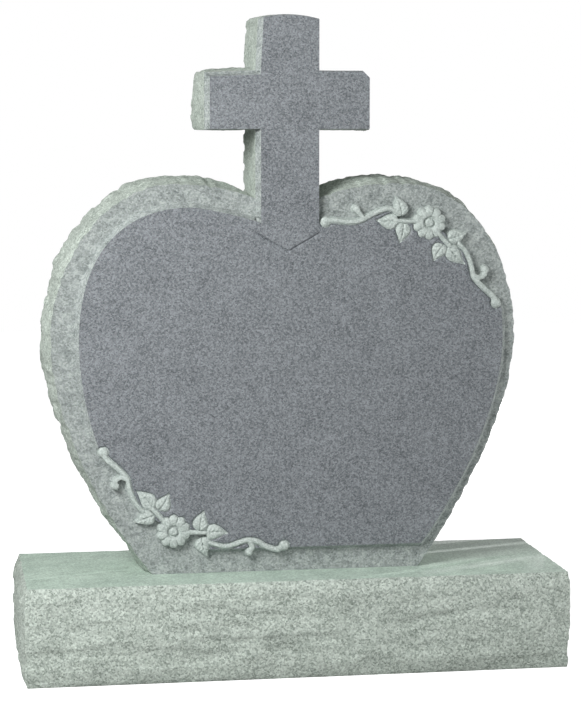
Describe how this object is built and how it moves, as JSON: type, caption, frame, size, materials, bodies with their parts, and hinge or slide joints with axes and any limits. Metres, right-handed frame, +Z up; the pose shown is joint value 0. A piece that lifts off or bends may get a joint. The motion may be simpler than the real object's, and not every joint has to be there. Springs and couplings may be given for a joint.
{
  "type": "heart headstone",
  "caption": "Granite headstone: a rock-pitched heart tablet with a raised panel, a cross in its cleft and two carved flower sprays, standing on a low rock-pitched plinth.",
  "frame": {"origin": "middle of the plinth's underside, on the ground", "axes": "+Z up, the panel faces -Y, +X to the right as the panel is read"},
  "size_m": [0.9416, 0.3345, 1.1046],
  "materials": {
    "tablet_granite": "polished panel, frosted margin and carving, rock-pitched sides",
    "plinth_granite": "steeled top, rock-pitched sides"
  },
  "bodies": {
    "root": {"heart_tablet": "tablet_granite", "plinth": "plinth_granite"}
  },
  "joints": []
}
